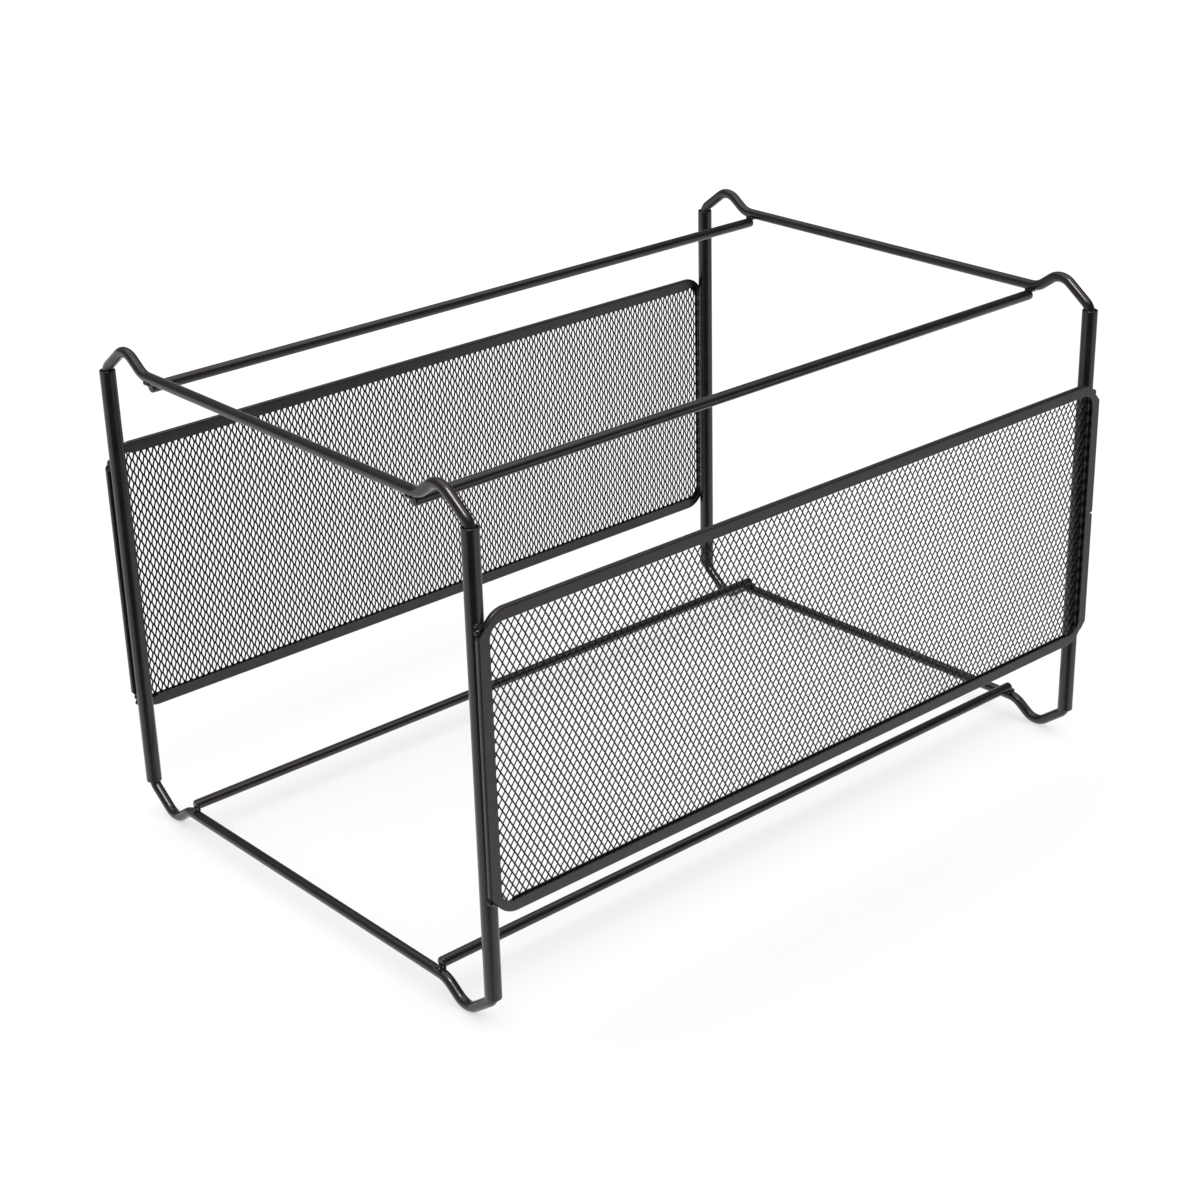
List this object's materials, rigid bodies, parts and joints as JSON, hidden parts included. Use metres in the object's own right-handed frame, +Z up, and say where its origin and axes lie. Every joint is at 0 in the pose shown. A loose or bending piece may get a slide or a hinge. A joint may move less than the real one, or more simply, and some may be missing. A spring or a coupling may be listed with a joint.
{
  "type": "magazine file holder",
  "caption": "Open knock-down magazine and file holder: bent-wire top and bottom frames plugged into tube posts, with rimmed expanded-metal mesh panels on the long sides.",
  "frame": {"origin": "on the ground under the centre of the holder, level with the undersides of its four feet", "axes": "+X along the long sides, towards the right seen from the front; +Y from the front side to the back side; +Z up"},
  "size_m": [0.465, 0.333, 0.2916],
  "materials": {
    "bent_wire": "satin charcoal-black powder coat on bent round wire",
    "rail_rod": "satin charcoal-black powder coat on straight round rod",
    "post_tube": "satin charcoal-black powder coat on round tube",
    "rim_sheet": "fine-textured satin charcoal-black powder coat on folded sheet",
    "expanded_mesh": "near-black powder coat on expanded-metal strands",
    "weld_bead": "powder coat over small lumpy weld beads"
  },
  "bodies": {
    "bottom_frame": {"bottom_left_end_wire": "bent_wire", "bottom_right_end_wire": "bent_wire", "bottom_front_rail": "rail_rod", "bottom_back_rail": "rail_rod", "bottom_frame_welds": "weld_bead"},
    "front_side": {"front_left_post": "post_tube", "front_right_post": "post_tube", "front_rim": "rim_sheet", "front_mesh": "expanded_mesh", "front_side_welds": "weld_bead"},
    "back_side": {"back_left_post": "post_tube", "back_right_post": "post_tube", "back_rim": "rim_sheet", "back_mesh": "expanded_mesh", "back_side_welds": "weld_bead"},
    "top_frame": {"top_left_end_wire": "bent_wire", "top_right_end_wire": "bent_wire", "top_front_rail": "rail_rod", "top_back_rail": "rail_rod", "top_frame_welds": "weld_bead"}
  },
  "joints": [
    {"name": "front_side_lift", "type": "slide", "parent": "bottom_frame", "child": "front_side", "axis": [0, 0, 1], "range_m": [0, 0.04]},
    {"name": "back_side_lift", "type": "slide", "parent": "bottom_frame", "child": "back_side", "axis": [0, 0, 1], "range_m": [0, 0.04]},
    {"name": "top_frame_lift", "type": "slide", "parent": "front_side", "child": "top_frame", "axis": [0, 0, 1], "range_m": [0, 0.04]}
  ],
  "couplings": [
    {"joint": "back_side_lift", "follows": "front_side_lift", "ratio": 1}
  ]
}
